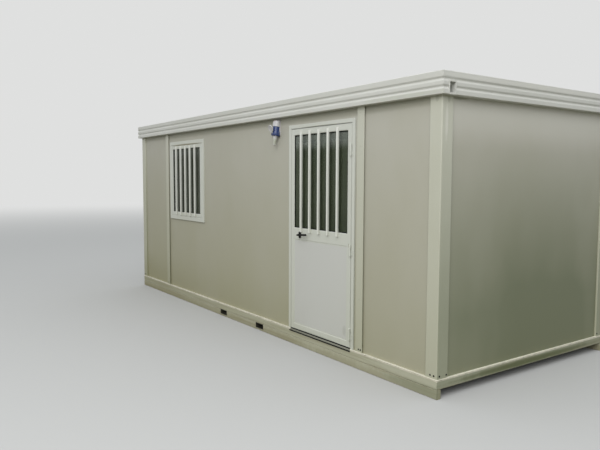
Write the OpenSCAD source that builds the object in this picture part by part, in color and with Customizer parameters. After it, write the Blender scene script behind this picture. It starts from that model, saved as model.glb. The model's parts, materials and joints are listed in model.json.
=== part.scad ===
// Portable site cabin: a steel ring frame on two skids, sandwich panel walls,
// a rolled steel roof ring, one barred window and one barred door that opens outwards.
// Millimetres, +Z up. The origin is on the ground under the middle of the cabin,
// +X runs along the long side, and the door side faces -Y.

/* [Body] */
// Length of the cabin over its corner posts
body_l = 6000; // [5400:50:7200]
// Width of the cabin over its corner posts
body_w = 2350; // [2200:10:2500]
// Height of the wall between the door frame and the fascia
over_door = 86; // [60:1:300]

/* [Base] */
// Height of the two skids under the long sides
skid_h = 75; // [70:1:110]
// Width of a skid
skid_w = 45; // [40:1:80]
// Height of the base rail that runs round the cabin
rail_h = 75; // [60:1:110]
// Width of the flanges of the base rail
rail_w = 60; // [58:1:70]
// Thickness of the folded steel of skids, rails and posts
steel_t = 4; // [3:0.5:5]
// Outer radius of the folds of skids and rails
fold_r = 6; // [5:0.5:8]
// Clear width of a fork pocket
pocket_w = 150; // [110:1:220]
// Clear height of a fork pocket
pocket_h = 49; // [40:1:60]
// Distance between the middles of the two fork pockets
pocket_pitch = 828; // [500:1:1200]
// How far the pair of fork pockets lies towards the door end
pocket_shift = 32; // [-100:1:100]
// Wall of a fork pocket sleeve
sleeve_t = 4; // [2:0.5:5]
// Width of a floor joist
joist_w = 50; // [40:1:80]
// Sheet thickness of joists and roof beams
channel_t = 3; // [2:0.5:4]
// Height of the lips of joists and roof beams
channel_lip = 13; // [8:1:18]
// Largest distance between two floor joists
joist_pitch = 640; // [400:10:900]
// Thickness of the floor board
floor_t = 20; // [15:1:28]

/* [Walls] */
// Thickness of a sandwich panel
panel_t = 40; // [35:1:50]
// Depth of the panels behind the face of posts and rails
recess = 17; // [12:1:22]
// Length of the tongue of a wall panel
tongue_l = 10; // [6:1:14]
// Thickness of the tongue of a wall panel
tongue_t = 12; // [8:1:18]
// Width of a corner post on each side of its corner
post_w = 120; // [90:1:160]
// Radius of the outer edge of a corner post
post_r = 8; // [6:1:12]
// Width of a cover strip
strip_w = 90; // [60:1:110]
// Sheet thickness of a cover strip
strip_t = 3; // [2:0.5:4]
// Width of the rib on which a cover strip stands off the wall
strip_rib = 58; // [40:1:60]
// Depth of the turned edges of a cover strip
strip_lip = 4.5; // [4:0.5:8]
// Distance from the door end of the cabin to the middle of the strip there
strip_door_end = 898; // [700:1:1000]
// Distance from the window end of the cabin to the middle of the strip there
strip_window_end = 959; // [700:1:1100]

/* [Roof] */
// How far the fascia stands out from posts and rails
overhang = 45; // [25:1:70]
// Height of the lowest band of the fascia
band_low = 51; // [45:1:80]
// Height of the middle band of the fascia
band_mid = 58; // [45:1:80]
// Height of the upper band of the fascia
band_top = 61; // [45:1:80]
// Depth of the rolled grooves between the bands
groove_d = 7; // [4:0.5:10]
// Half the height of a groove at its mouth
groove_h = 19; // [12:1:22]
// Radius of the rolled edges of the fascia
fascia_r = 7; // [6:1:10]
// Sheet thickness of the fascia
fascia_t = 4; // [3:0.5:5]
// Width of the upper flange of the fascia
rim_w = 50; // [40:1:70]
// Height of the lip that the upper flange turns down into
lip_h = 15; // [8:1:25]
// How far the panels reach up behind the fascia
panel_grip = 20; // [12:1:30]
// Bearing of the fascia's shelf over ceiling and roof beams
shelf_over = 8; // [5:1:20]
// Width of the opening in the fascia beside each corner
drain_w = 62; // [50:1:90]
// Height of the opening in the fascia beside each corner
drain_h = 78; // [60:1:84]
// Distance from the fascia's corner to that opening
drain_inset = 68; // [60:1:120]
// Width of the raised rim at the sides of that opening
drain_rim = 7; // [4:1:10]
// Height of the raised rim over and under that opening
drain_sill = 13; // [8:1:16]
// How far that rim stands out from the bands
drain_proud = 3; // [2:0.5:5]
// Depth of the spout behind that opening
drain_l = 56; // [30:1:60]
// Radius of the corners of that rim
drain_r = 4; // [2:0.5:6]
// Width of a roof beam
beam_w = 50; // [40:1:80]
// Height of a roof beam
beam_h = 50; // [40:1:60]
// Largest distance between two roof beams
beam_pitch = 1000; // [700:10:1300]
// Thickness of the ceiling panel
ceiling_t = 40; // [30:1:60]
// Gap between the roof sheet and the lip of the fascia
deck_gap = 8; // [4:1:20]
// Distance between two ribs of the roof sheet
rib_pitch = 250; // [180:5:320]
// Height of a rib of the roof sheet
rib_h = 25; // [15:1:40]
// Width of the crest of a rib
rib_crest = 40; // [25:1:60]
// Width of the slope of a rib
rib_slope = 22; // [12:1:35]
// Thickness of the roof sheet
deck_t = 2; // [1.5:0.5:3]

/* [Window] */
// Width of the window over its cover frame
win_w = 1044; // [840:2:1300]
// Height of the window over its cover frame
win_h = 1055; // [800:1:1100]
// Distance from the fascia down to the window's cover frame
win_drop = 113; // [80:1:200]
// Distance from the middle of the strip to the cover frame
win_from_strip = 95; // [80:1:100]
// Distance from the cover frame to the next joint between two panels
win_margin = 11; // [5:1:60]
// Visible width of the cover frame
win_face = 52; // [40:1:70]
// Visible width of the sash
sash_face = 50; // [35:1:60]
// Depth of the sash
sash_t = 36; // [30:1:40]
// How far the sash lies behind the cover frame
sash_recess = 1; // [0.5:0.5:4]
// Width of the shadow gap round the sash
shadow_w = 4; // [2:0.5:6]
// Depth of the shadow gap round the sash
shadow_d = 6; // [4:0.5:8]
// Bevel along the edges of window frames, door frame and leaf
edge = 2.5; // [1:0.5:4]
// How far a frame covers the edge of the hole in the wall
cover_lap = 22; // [15:1:30]
// Thickness of the cover of a frame on the inner side
inner_cover_t = 4; // [3:1:8]
// Thickness of the glass
glass_t = 6; // [4:1:10]
// Depth of the glass behind the face of its sash or leaf
glass_recess = 12; // [8:1:16]
// How far the glass reaches into the groove of its sash or leaf
glass_grip = 8; // [5:1:12]
// Width of the sloping bead round glass and lower door panel
bead = 5; // [3:0.5:8]
// Side of a square security bar
bar_s = 20; // [16:1:26]
// Number of security bars of the window, and of the door
bar_n = 5; // [3:1:5]
// Distance between two bars of the window
win_bar_pitch = 144; // [110:1:150]
// How far a window bar laps over the sash
bar_lap = 36; // [8:1:40]

/* [Door] */
// Width of the door over its frame
door_w = 1008; // [900:2:1010]
// Height of the door frame over the base rail
door_h = 2034; // [1960:1:2050]
// Distance from the middle of the strip to the door frame
door_from_strip = 76; // [60:1:90]
// Visible width of the door frame
jamb_face = 37; // [32:1:45]
// Gap between the leaf and its frame
leaf_gap = 7; // [6.5:0.5:9]
// Thickness of the leaf
leaf_t = 40; // [36:1:44]
// Width of the stiles of the leaf
stile_w = 50; // [45:1:70]
// Height of the top rail of the leaf
top_rail_h = 58; // [45:1:80]
// Height of the middle rail of the leaf
mid_rail_h = 116; // [100:1:140]
// Height of the middle rail's lower edge over the base rail
mid_rail_z = 912; // [850:1:950]
// Height of the bottom rail of the leaf
foot_rail_h = 60; // [50:1:90]
// How far the lower panel lies behind the stiles
infill_recess = 4; // [1:1:6]
// Distance between two bars of the door
door_bar_pitch = 140; // [110:1:145]
// How far a door bar laps over the rails
door_bar_lap = 36; // [8:1:40]
// Gap between the closed leaf and the stop behind it
stop_gap = 6; // [5:0.5:8]
// Width of that stop
stop_w = 20; // [15:1:30]
// Thickness of the threshold sheet
sill_t = 3; // [2:0.5:5]
// Height of the threshold's front lip
sill_lip = 22; // [12:1:30]
// Number of grooves along the threshold
sill_groove_n = 5; // [2:1:5]
// Distance between two of these grooves
sill_groove_pitch = 8; // [6:0.5:8]

/* [Hinges and lever] */
// Radius of a hinge barrel
barrel_r = 9; // [8:0.5:11]
// Length of a hinge, both knuckles together
hinge_l = 100; // [80:1:140]
// Radius of a hinge pin
pin_r = 5; // [3:0.5:6]
// Distance from the leaf's lower edge to the low hinge
hinge_low = 124; // [90:1:200]
// Distance from the leaf's lower edge to the middle hinge
hinge_mid = 872; // [800:1:1000]
// Distance from the leaf's upper edge to the high hinge
hinge_high = 230; // [120:1:300]
// Thickness of a hinge plate
plate_t = 3; // [2:0.5:4]
// Width of a hinge plate, from the barrel's axis
plate_w = 30; // [22:1:32]
// Height of the bevelled cap at each end of a hinge
cap_h = 3; // [2:0.5:5]
// Distance from the leaf's free edge to the lever's spindle
lever_inset = 150; // [60:1:200]
// Height of the spindle over the middle rail's lower edge
lever_z = 50; // [40:1:70]
// Length of the lever from its spindle
lever_l = 156; // [110:1:170]
// Radius of the lever's neck and grip
grip_r = 8.5; // [7:0.5:10]
// Distance from the leaf's face to the middle of the grip
lever_out = 40; // [34:1:55]
// Radius of the lever's bend, to its middle line
bend_r = 16; // [12:1:20]
// Radius of the lever's end
tip_r = 10; // [10:0.5:12]
// Upward slant of the lever at rest
lever_rise = 4; // [0:1:8]
// Width of a lock plate
lock_w = 38; // [32:1:45]
// Height of a lock plate
lock_h = 70; // [66:1:76]
// Thickness of a lock plate
lock_t = 6; // [4:1:9]
// Radius of the key cylinder
key_r = 7; // [5:0.5:8]
// Distance from the spindle down to the key cylinder
key_drop = 23; // [22:1:26]
// Radius of the spindle
spindle_r = 5; // [4:0.5:6]

/* [Power inlet] */
// Width of the plate behind the inlet
inlet_w = 84; // [76:1:130]
// Height of that plate
inlet_h = 160; // [140:1:190]
// Thickness of that plate
inlet_d = 14; // [10:1:15]
// Height of the step round the front of the plate
inlet_step = 4; // [2:0.5:6]
// Radius of the corners of the plate
inlet_r = 12; // [8:1:18]
// Distance from the door frame to the plate
inlet_from_door = 173; // [100:1:400]
// Distance from the fascia down to the plate
inlet_drop = 14; // [8:1:60]
// Distance from the plate's upper edge to the mouth of the hood
hood_drop = 70; // [66:1:76]
// Length of the hood over the collar
hood_l = 60; // [50:1:64]
// How far the hood stands over the collar
hood_rim = 2; // [1:0.5:4]
// Radius of the hood's upper edge
hood_round = 10; // [4:1:14]
// Distance from the wall to the middle of the hood's mouth
hood_out = 22; // [20:1:30]
// Radius of the blue collar
collar_r = 41; // [36:1:44]
// Length of the blue collar
collar_l = 94; // [80:1:110]
// Height of the moulded beads of the collar
collar_bead = 3; // [2:0.5:4]
// How far the collar leans out of the upright
collar_lean = 10; // [4:1:15]
// Radius of the collar's lid
lid_r = 38; // [34:1:42]
// Thickness of that lid
lid_t = 8; // [6:1:12]
// Radius of the barrel of the lid's hinge
lid_barrel = 5; // [4:0.5:6]
// Width of that hinge
lid_lug = 30; // [20:1:40]
// How far the collar's block for that hinge stands out
lid_seat = 4; // [2:0.5:6]
// Distance from the collar's mouth up to the hinge
lid_up = 26; // [14:1:40]
// How far the open lid leans away from the collar
lid_lean = 30; // [20:1:36]
// Radius of the nut of the cable sleeve in the collar's mouth
gland_r = 23; // [16:0.5:26]
// Height of that nut
gland_nut = 20; // [12:1:30]
// Radius of the lower end of the cable sleeve
gland_tip = 12; // [8:0.5:14]
// Step from the nut to the sleeve
gland_step = 1.5; // [1:0.5:3]
// Radius of the sleeve's lower edge
gland_round = 3; // [2:0.5:5]
// Length of nut and sleeve
gland_l = 96; // [70:1:110]

/* [Hidden] */
$fn = 48;
eps = 0.01;
pin_clear = 0.05;
knuckle_gap = 0.5;
neck_clear = 0.3;
joint_clear = 1;
spindle_clear = 2;
pin_short = 5;
bore_short = 4;
key_proud = 3;
rail_z = skid_h;
wall_z = skid_h + rail_h;
wall_h = door_h + over_door;
fascia_z = wall_z + wall_h;
fascia_h = band_low + band_mid + band_top;
panel_top = fascia_z + panel_grip;
roof_top = fascia_z + fascia_h;
wall_in = recess + panel_t;
shelf_in = wall_in + shelf_over;
half_l = body_l / 2;
half_w = body_w / 2;
floor_top = wall_z;
// Walls and strips of the front, by their places along X
strip_right_x = half_l - strip_door_end;
strip_left_x = -half_l + strip_window_end;
wall_end_x = half_l - wall_in;
// Window
win_x = strip_left_x + win_from_strip;
win_mid_x = win_x + win_w / 2;
win_z = fascia_z - win_drop - win_h;
win_mid_z = win_z + win_h / 2;
joint_x = win_x + win_w + win_margin;
// Door
door_x1 = strip_right_x - door_from_strip;
door_x0 = door_x1 - door_w;
door_top = wall_z + door_h;
leaf_x0 = door_x0 + jamb_face + leaf_gap;
leaf_x1 = door_x1 - jamb_face - leaf_gap;
leaf_w = leaf_x1 - leaf_x0;
leaf_mid_x = leaf_x0 + leaf_w / 2;
leaf_z0 = wall_z + sill_t + leaf_gap;
leaf_z1 = door_top - jamb_face - leaf_gap;
leaf_h = leaf_z1 - leaf_z0;
mid_z0 = wall_z + mid_rail_z;
mid_z1 = mid_z0 + mid_rail_h;
pane_w = leaf_w - 2 * stile_w;
pane_z1 = leaf_z1 - top_rail_h;
pane_h = pane_z1 - mid_z1;
infill_z0 = leaf_z0 + foot_rail_h;
infill_h = mid_z0 - infill_z0;
hinge_x = leaf_x1 + leaf_gap / 2;
hinge_y = -barrel_r - 1;
hinge_zs = [leaf_z0 + hinge_low, leaf_z0 + hinge_mid, leaf_z1 - hinge_high];
knuckle_l = (hinge_l - knuckle_gap) / 2;
spindle_x = leaf_x0 + lever_inset;
spindle_z = mid_z0 + lever_z;
// Roof
beam_z = panel_top + fascia_t;
deck_z = beam_z + beam_h;
deck_in = rim_w - overhang + deck_gap;
drain_gap = 1;
drain_z = fascia_z + drain_gap + drain_sill;
// Power inlet
inlet_x = door_x0 - inlet_from_door - inlet_w;
inlet_z = fascia_z - inlet_drop - inlet_h;

// Colours
cream = [0.86, 0.85, 0.76];
greige = [0.70, 0.70, 0.63];
white = [0.90, 0.91, 0.88];
galvanised = [0.62, 0.64, 0.65];
board = [0.55, 0.47, 0.36];
dark_glass = [0.12, 0.17, 0.16, 0.6];
black = [0.06, 0.06, 0.06];
blue = [0.10, 0.18, 0.50];
pale_grey = [0.78, 0.79, 0.77];

// Puts children, drawn with X along a side, Y inwards from the face of its posts
// and Z up, on side 0 front, 1 right, 2 rear or 3 left.
module on_side(side)
    rotate([0, 0, 90 * side])
        translate([0, side % 2 == 0 ? -half_w : -half_l, 0])
            children();

function side_l(side) = side % 2 == 0 ? body_l : body_w;

// Points of an arc from angle a0 to angle a1
function arc(cx, cy, r, a0, a1, n = 5) =
    [for (i = [0 : n]) let (a = a0 + (a1 - a0) * i / n) [cx + r * cos(a), cy + r * sin(a)]];

// A rectangle with rounded corners, as points
function rounded(x0, y0, x1, y1, r) = concat(
    arc(x1 - r, y1 - r, r, 0, 90), arc(x0 + r, y1 - r, r, 90, 180),
    arc(x0 + r, y0 + r, r, 180, 270), arc(x1 - r, y0 + r, r, 270, 360)
);

// A lipped channel with its web at X = 0, as points
function channel(w, h, t, lip) = [
    [0, 0], [w, 0], [w, lip], [w - t, lip], [w - t, t], [t, t],
    [t, h - t], [w - t, h - t], [w - t, h - lip], [w, h - lip], [w, h], [0, h]
];

// Extrudes an outline of [inward, up] points along X, centred
module bar_along_x(l, outline)
    rotate([90, 0, 90])
        linear_extrude(l, center = true)
            polygon(outline);

// Extrudes an outline of [along X, up] points along Y, from y over a length l
module bar_along_y(y, l, outline)
    translate([0, y + l, 0])
        rotate([90, 0, 0])
            linear_extrude(l)
                polygon(outline);

// A bar along X, mitred at both ends, for an outline between out and in of the face
module mitred_bar(l, outline, out, in, z0, z1)
    intersection() {
        bar_along_x(l + 2 * out, outline);
        translate([0, 0, z0])
            linear_extrude(z1 - z0)
                polygon([
                    [-l / 2 - out, -out], [l / 2 + out, -out],
                    [l / 2 - in, in], [-l / 2 + in, in]
                ]);
    }

// A box given by its low corner and its size in a side's own directions
module block(x, y, z, w, d, h)
    translate([x, y, z])
        cube([w, d, h]);

// A plate that stands on edge between y0 and y1. A bevel above 0 takes the edges of its
// front face off, and one below 0 flares them, as a cutter for an opening needs.
function plate_line(size, y0, y1, bevel) = concat(
    [[-size / 2 + bevel, y0], [size / 2 - bevel, y0]],
    bevel == 0 ? [] : [[size / 2, y0 + abs(bevel)]],
    [[size / 2, y1], [-size / 2, y1]],
    bevel == 0 ? [] : [[-size / 2, y0 + abs(bevel)]]
);

module plate(w, h, y0, y1, bevel)
    intersection() {
        linear_extrude(h + 2 * abs(bevel), center = true)
            polygon(plate_line(w, y0, y1, bevel));
        bar_along_x(w + 2 * abs(bevel), [for (p = plate_line(h, y0, y1, bevel)) [p[1], p[0]]]);
    }

// A cylinder along Y
module rod_y(r, y, l)
    translate([0, y, 0])
        rotate([-90, 0, 0])
            cylinder(r = r, h = l);

// Base

module skid(shift)
    difference() {
        bar_along_x(body_l, rounded(0, 0, skid_w, skid_h, fold_r));
        bar_along_x(body_l - 2 * steel_t,
            rounded(steel_t, steel_t, skid_w - steel_t, skid_h - steel_t, fold_r - steel_t + eps));
        for (x = pocket_xs(shift))
            block(x - pocket_w / 2 - sleeve_t, -eps, pocket_z - sleeve_t,
                pocket_w + 2 * sleeve_t, skid_w + 2 * eps, skid_h);
    }

// The sleeves of the fork pockets lie right under the base rail
pocket_z = skid_h - sleeve_t - pocket_h;

function pocket_xs(shift) = [shift - pocket_pitch / 2, shift + pocket_pitch / 2];

module front_skid() color(cream) on_side(0) skid(pocket_shift);
module rear_skid() color(cream) on_side(2) skid(-pocket_shift);

module fork_pockets()
    color(galvanised)
        for (x = pocket_xs(pocket_shift))
            translate([x, 0, pocket_z])
                difference() {
                    block(-pocket_w / 2 - sleeve_t, -half_w, -sleeve_t,
                        pocket_w + 2 * sleeve_t, body_w, pocket_h + 2 * sleeve_t);
                    block(-pocket_w / 2, -half_w - eps, 0, pocket_w, body_w + 2 * eps, pocket_h);
                }

rail_outline = concat(
    [[rail_w, rail_z], [rail_w, rail_z + steel_t]],
    arc(fold_r, rail_z + fold_r, fold_r - steel_t, 270, 180),
    arc(fold_r, wall_z - fold_r, fold_r - steel_t, 180, 90),
    [[rail_w, wall_z - steel_t], [rail_w, wall_z]],
    arc(fold_r, wall_z - fold_r, fold_r, 90, 180),
    arc(fold_r, rail_z + fold_r, fold_r, 180, 270)
);

module base_rail(side)
    color(cream)
        on_side(side)
            mitred_bar(side_l(side), rail_outline, 0, rail_w, rail_z, wall_z);

module front_base_rail() base_rail(0);
module right_base_rail() base_rail(1);
module rear_base_rail() base_rail(2);
module left_base_rail() base_rail(3);

joist_z = rail_z + steel_t;
joist_run = body_l - 2 * rail_w - joist_w;
joist_n = ceil(joist_run / joist_pitch);

module floor_joists()
    color(galvanised)
        for (i = [0 : joist_n])
            translate([-joist_run / 2 + i * joist_run / joist_n - joist_w / 2, 0, joist_z])
                bar_along_y(-half_w + fold_r, body_w - 2 * fold_r,
                    channel(joist_w, floor_top - floor_t - joist_z, channel_t, channel_lip));

module floor_board()
    color(board)
        block(-half_l + rail_w, -half_w + rail_w, floor_top - floor_t,
            body_l - 2 * rail_w, body_w - 2 * rail_w, floor_t);

// Corner posts: a square tube in the corner, with a turned flange over each wall.
// The outline is drawn from the corner along one wall, then mirrored for the other.

post_half = concat(
    arc(post_r, post_r, post_r, 225, 270),
    arc(post_w - fold_r, fold_r, fold_r, 270, 360),
    [[post_w, recess], [post_w - steel_t, recess]],
    arc(post_w - fold_r, fold_r, fold_r - steel_t, 360, 270),
    [[wall_in, steel_t], [wall_in, wall_in]]
);

module post_outline()
    difference() {
        polygon(concat(
            post_half,
            [for (i = [len(post_half) - 2 : -1 : 1]) [post_half[i][1], post_half[i][0]]]
        ));
        polygon(rounded(steel_t, steel_t, wall_in - steel_t, wall_in - steel_t, post_r - steel_t));
    }

module post(corner)
    color(cream)
        rotate([0, 0, corner % 2 == 0 ? 0 : 180])
            mirror([corner < 2 ? 0 : 1, 0, 0])
                translate([half_l, -half_w, wall_z])
                    mirror([1, 0, 0])
                        linear_extrude(wall_h)
                            post_outline();

module post_front_right() post(0);
module post_rear_left() post(1);
module post_front_left() post(2);
module post_rear_right() post(3);

// Walls

module wall_piece(x0, x1, z0 = wall_z)
    block(x0, recess, z0, x1 - x0, panel_t, panel_top - z0);

// The tongue of one panel fits the groove of the next at their joint
module tongue(l, t)
    block(joint_x - eps, recess + (panel_t - t) / 2, wall_z, l + eps, t, panel_top - wall_z);

module front_wall_left() color(greige) on_side(0) wall_piece(-wall_end_x, strip_left_x);

module front_wall_window()
    color(greige)
        on_side(0) {
            difference() {
                wall_piece(strip_left_x, joint_x);
                block(win_x + cover_lap, recess - eps, win_z + cover_lap,
                    win_hole_w, panel_t + 2 * eps, win_hole_h);
            }
            tongue(tongue_l, tongue_t);
        }

module front_wall_middle()
    color(greige)
        on_side(0)
            difference() {
                wall_piece(joint_x, door_x0 + cover_lap);
                tongue(tongue_l + joint_clear, tongue_t + 2 * joint_clear);
            }

module front_wall_over_door()
    color(greige)
        on_side(0)
            wall_piece(door_x0 + cover_lap, door_x1 - cover_lap, door_top - cover_lap);

module front_wall_right() color(greige) on_side(0) wall_piece(door_x1 - cover_lap, wall_end_x);

module rear_wall() color(greige) on_side(2) wall_piece(-wall_end_x, wall_end_x);

module end_wall(side)
    color(greige)
        on_side(side)
            wall_piece(-half_w + wall_in, half_w - wall_in);

module right_wall() end_wall(1);
module left_wall() end_wall(3);

// Cover strips: a face with turned edges, carried by a narrower rib on the wall.
// The right half of the outline, which is mirrored for the left half.

strip_half = [
    [strip_w / 2 - strip_t / 2, 0], [strip_w / 2, strip_t / 2],
    [strip_w / 2, strip_lip], [strip_w / 2 - strip_t, strip_lip], [strip_w / 2 - strip_t, strip_t],
    [strip_rib / 2, strip_t], [strip_rib / 2, recess],
    [strip_rib / 2 - strip_t, recess], [strip_rib / 2 - strip_t, strip_t]
];

module strip(x)
    translate([x, 0, wall_z])
        linear_extrude(wall_h)
            polygon(concat(
                strip_half,
                [for (i = [len(strip_half) - 1 : -1 : 0]) [-strip_half[i][0], strip_half[i][1]]]
            ));

module front_strips()
    color(cream)
        on_side(0) {
            strip(strip_left_x);
            strip(strip_right_x);
        }

module rear_strips()
    color(cream)
        on_side(2) {
            strip(-strip_left_x);
            strip(-strip_right_x);
        }

// Roof ring: a rolled fascia with a gutter behind it and a shelf over the panels

groove_zs = [fascia_z + band_low, fascia_z + band_low + band_mid];
groove_n = 8;

// A rolled groove round the height z of a sheet face at y, drawn upwards
function groove(y, z) = [
    for (i = [0 : groove_n]) let (t = 2 * i / groove_n - 1)
        [y + groove_d * (1 + cos(180 * t)) / 2, z + t * groove_h]
];

function backwards(points) = [for (i = [len(points) - 1 : -1 : 0]) points[i]];

fascia_outline = concat(
    [[shelf_in, panel_top], [recess, panel_top], [recess, fascia_z]],
    arc(-overhang + fascia_r, fascia_z + fascia_r, fascia_r, 270, 180),
    groove(-overhang, groove_zs[0]),
    groove(-overhang, groove_zs[1]),
    arc(-overhang + fascia_r, roof_top - fascia_r, fascia_r, 180, 90),
    [
        [-overhang + rim_w, roof_top], [-overhang + rim_w, roof_top - lip_h],
        [-overhang + rim_w - fascia_t, roof_top - lip_h],
        [-overhang + rim_w - fascia_t, roof_top - fascia_t]
    ],
    arc(-overhang + fascia_r, roof_top - fascia_r, fascia_r - fascia_t, 90, 180),
    backwards(groove(-overhang + fascia_t, groove_zs[1])),
    backwards(groove(-overhang + fascia_t, groove_zs[0])),
    arc(-overhang + fascia_r, fascia_z + fascia_r, fascia_r - fascia_t, 180, 270),
    [
        [recess - fascia_t, fascia_z + fascia_t],
        [recess - fascia_t, beam_z], [shelf_in, beam_z]
    ]
);

module fascia(side)
    color(cream)
        on_side(side)
            mitred_bar(side_l(side), fascia_outline, overhang, shelf_in, fascia_z, roof_top);

// The end fascias have a short spout with a raised rim beside each corner

drain_d = drain_proud + groove_d + fascia_t;

module at_drains(side)
    on_side(side)
        for (s = [-1, 1])
            translate([s * (half_w + overhang - drain_inset - drain_w / 2),
                -overhang - drain_proud, drain_z + drain_h / 2])
                children();

module drain_shape(rim, sill, y, l)
    bar_along_y(y, l, rounded(-drain_w / 2 - rim, -drain_h / 2 - sill,
        drain_w / 2 + rim, drain_h / 2 + sill, drain_r));

module end_fascia(side)
    color(cream)
        difference() {
            union() {
                fascia(side);
                at_drains(side) drain_shape(drain_rim, drain_sill, 0, drain_d);
                at_drains(side) drain_shape(fascia_t, fascia_t, 0, drain_l);
            }
            at_drains(side) drain_shape(0, 0, -1, drain_l + 2);
        }

module front_fascia() fascia(0);
module rear_fascia() fascia(2);
module right_fascia() end_fascia(1);
module left_fascia() end_fascia(3);

beam_run = body_l - 2 * shelf_in - beam_w;
beam_n = ceil(beam_run / beam_pitch);

module roof_beams()
    color(galvanised)
        for (i = [0 : beam_n])
            translate([-beam_run / 2 + i * beam_run / beam_n - beam_w / 2, 0, beam_z])
                bar_along_y(-half_w + recess, body_w - 2 * recess,
                    channel(beam_w, beam_h, channel_t, channel_lip));

// The ribs of the roof sheet run along the cabin, across the beams, and lead to the end gutters
deck_w = body_w - 2 * deck_in;
rib_n = round(deck_w / rib_pitch);
rib_step = deck_w / rib_n;
rib_flat = (rib_step - rib_crest - 2 * rib_slope) / 2;
deck_line = concat(
    [[-deck_w / 2, 0]],
    [for (i = [0 : rib_n - 1], p = [
        [rib_flat, 0], [rib_flat + rib_slope, rib_h],
        [rib_flat + rib_slope + rib_crest, rib_h], [rib_flat + 2 * rib_slope + rib_crest, 0]
    ]) [-deck_w / 2 + i * rib_step + p[0], p[1]]],
    [[deck_w / 2, 0]]
);

module roof_sheet()
    color(galvanised)
        translate([0, 0, deck_z])
            bar_along_x(body_l - 2 * deck_in,
                concat(deck_line, [for (p = backwards(deck_line)) p + [0, deck_t]]));

module ceiling_panel()
    color(white)
        block(-half_l + wall_in, -half_w + wall_in, panel_top - ceiling_t,
            body_l - 2 * wall_in, body_w - 2 * wall_in, ceiling_t);

// Window

module at_window() on_side(0) translate([win_mid_x, 0, win_mid_z]) children();

win_hole_w = win_w - 2 * cover_lap;
win_hole_h = win_h - 2 * cover_lap;
sash_w = win_w - 2 * win_face;
sash_h = win_h - 2 * win_face;
win_pane_w = sash_w - 2 * sash_face;
win_pane_h = sash_h - 2 * sash_face;

module window_frame()
    color(white)
        at_window()
            difference() {
                union() {
                    plate(win_w, win_h, 0, recess, edge);
                    plate(win_hole_w, win_hole_h, recess - eps, wall_in + eps, 0);
                    plate(win_w, win_h, wall_in, wall_in + inner_cover_t, 0);
                }
                plate(sash_w, sash_h, -eps, wall_in + inner_cover_t + eps, -edge);
            }

// The sash stands off the frame at its face, so that a narrow shadow runs round it
module window_sash()
    color(white)
        at_window()
            difference() {
                union() {
                    plate(sash_w - 2 * shadow_w, sash_h - 2 * shadow_w,
                        sash_recess, sash_recess + sash_t, edge);
                    plate(sash_w, sash_h, sash_recess + shadow_d, sash_recess + sash_t, 0);
                }
                plate(win_pane_w, win_pane_h, sash_recess - eps, sash_recess + sash_t + eps, -bead);
                plate(win_pane_w + 2 * (glass_grip + joint_clear),
                    win_pane_h + 2 * (glass_grip + joint_clear),
                    sash_recess + glass_recess, sash_recess + glass_recess + glass_t, 0);
            }

// A pane that reaches into the groove round its opening
module pane(w, h, y)
    plate(w + 2 * glass_grip, h + 2 * glass_grip, y + glass_recess, y + glass_recess + glass_t, 0);

module window_glass() color(dark_glass) at_window() pane(win_pane_w, win_pane_h, sash_recess);

// Square bars with soft edges that lie on the face at y
module bars(pitch, l, y)
    for (i = [0 : bar_n - 1])
        translate([(i - (bar_n - 1) / 2) * pitch, y - bar_s / 2, 0])
            linear_extrude(l, center = true)
                polygon(rounded(-bar_s / 2, -bar_s / 2, bar_s / 2, bar_s / 2, edge));

module window_bars()
    color(white)
        at_window()
            bars(win_bar_pitch, win_pane_h + 2 * bar_lap, sash_recess);

// Door

frame_in = wall_in + inner_cover_t;
rebate_w = leaf_w + 2 * leaf_gap;

// Jambs and head are the upper half of a frame twice as high
module door_frame()
    color(white)
        on_side(0)
            difference() {
                translate([leaf_mid_x, 0, wall_z]) {
                    plate(door_w, 2 * door_h, 0, recess, edge);
                    plate(door_w - 2 * cover_lap, 2 * (door_h - cover_lap), recess - eps, wall_in + eps, 0);
                    plate(door_w, 2 * door_h, wall_in, frame_in, 0);
                }
                translate([leaf_mid_x, 0, wall_z]) {
                    plate(rebate_w, 2 * (door_h - jamb_face), -eps, leaf_t + stop_gap, -edge);
                    plate(rebate_w - 2 * stop_w, 2 * (door_h - jamb_face - stop_w), -eps, frame_in + eps, 0);
                }
                block(door_x0 - eps, -eps, wall_z - door_h - eps,
                    door_w + 2 * eps, frame_in + 2 * eps, door_h + eps);
            }

sill_in = leaf_t + stop_gap;
sill_groove_y = (sill_in - (sill_groove_n - 0.5) * sill_groove_pitch) / 2;

// A tread with grooves, folded down over the base rail at its front
module door_threshold()
    color(galvanised)
        on_side(0)
            translate([leaf_mid_x, 0, wall_z])
                difference() {
                    bar_along_x(rebate_w, concat(
                        [[sill_in, 0], [sill_in, sill_t]],
                        arc(0, 0, sill_t, 90, 180),
                        [[-sill_t, sill_t - sill_lip], [0, sill_t - sill_lip], [0, 0]]
                    ));
                    for (i = [0 : sill_groove_n - 1])
                        block(-rebate_w / 2 - eps, sill_groove_y + i * sill_groove_pitch, sill_t / 2,
                            rebate_w + 2 * eps, sill_groove_pitch / 2, sill_t);
                }

module at_hinge(z) on_side(0) translate([hinge_x, hinge_y, z]) children();

module hinge_cap() cylinder(r1 = barrel_r, r2 = barrel_r - cap_h, h = cap_h);

// The lower knuckle carries the pin and is welded to a plate on the jamb
module frame_hinges()
    color(white)
        for (z = hinge_zs)
            at_hinge(z) {
                translate([0, 0, -hinge_l / 2]) {
                    cylinder(r = barrel_r, h = knuckle_l);
                    mirror([0, 0, 1]) hinge_cap();
                }
                translate([0, 0, -knuckle_gap]) cylinder(r = pin_r, h = knuckle_l - pin_short);
                block(0, -hinge_y - plate_t, -hinge_l / 2, plate_w, plate_t, knuckle_l);
            }

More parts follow.
